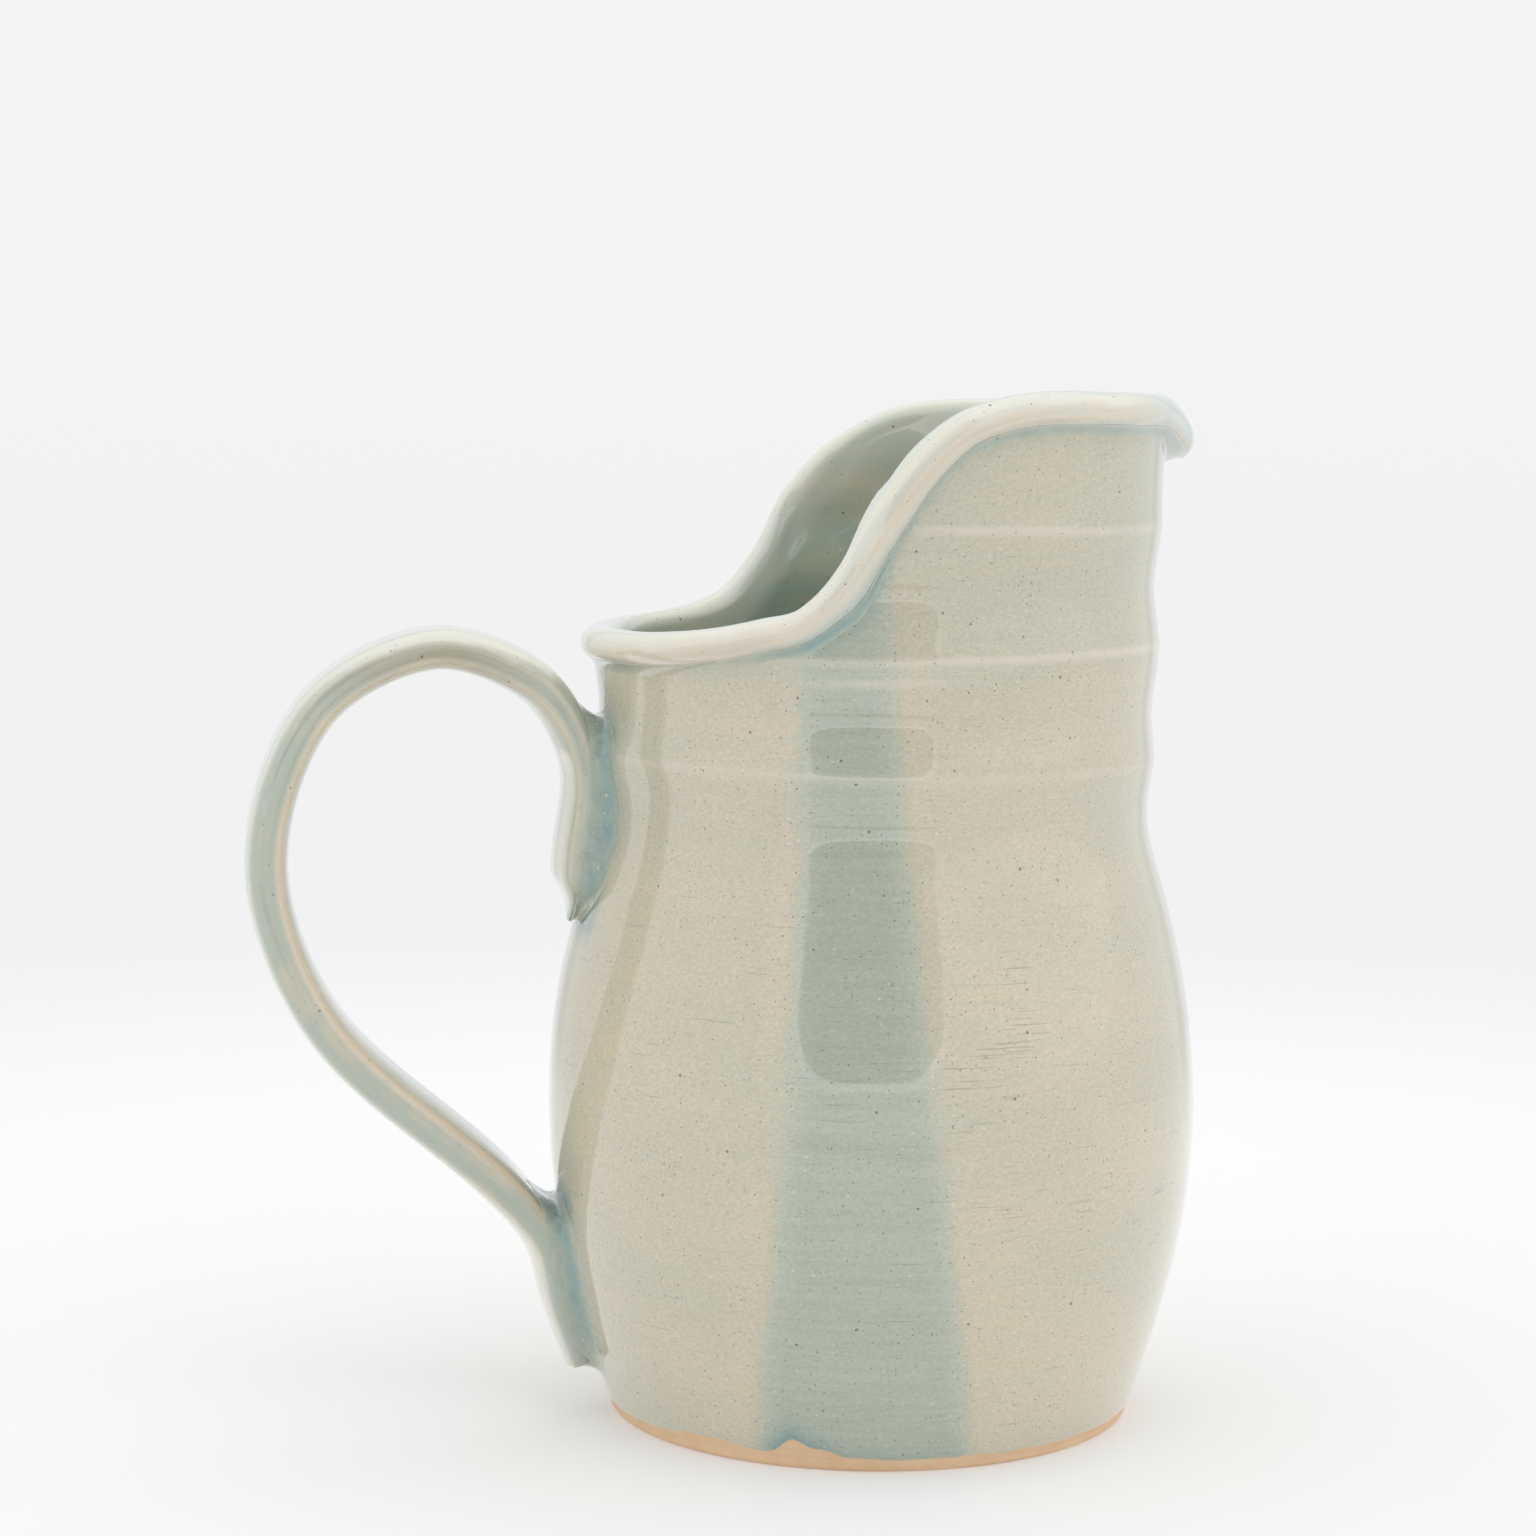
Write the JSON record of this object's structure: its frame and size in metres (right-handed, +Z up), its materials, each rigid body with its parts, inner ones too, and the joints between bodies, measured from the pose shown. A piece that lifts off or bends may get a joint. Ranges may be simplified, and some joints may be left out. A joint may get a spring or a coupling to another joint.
{
  "type": "ceramic pitcher",
  "caption": "Thrown stoneware pitcher with a full belly, a narrow waist, a swept rim with a rolled coil and small pouring lip, and a pulled strap handle, for holding and pouring liquids.",
  "frame": {"origin": "centre of the flat foot, on the surface that the pitcher stands on", "axes": "+Z up along the axis of the thrown body, +X to the pouring lip, -X to the handle"},
  "size_m": [0.188, 0.1288, 0.2015],
  "materials": {
    "body_glaze": "gloss",
    "rim_glaze": "gloss",
    "joint_slip": "gloss",
    "handle_glaze": "gloss"
  },
  "bodies": {
    "root": {"thrown_body": "body_glaze", "rim_slip": "joint_slip", "rim_coil": "rim_glaze", "upper_handle_slip": "joint_slip", "lower_handle_slip": "joint_slip", "handle": "handle_glaze"}
  },
  "joints": []
}
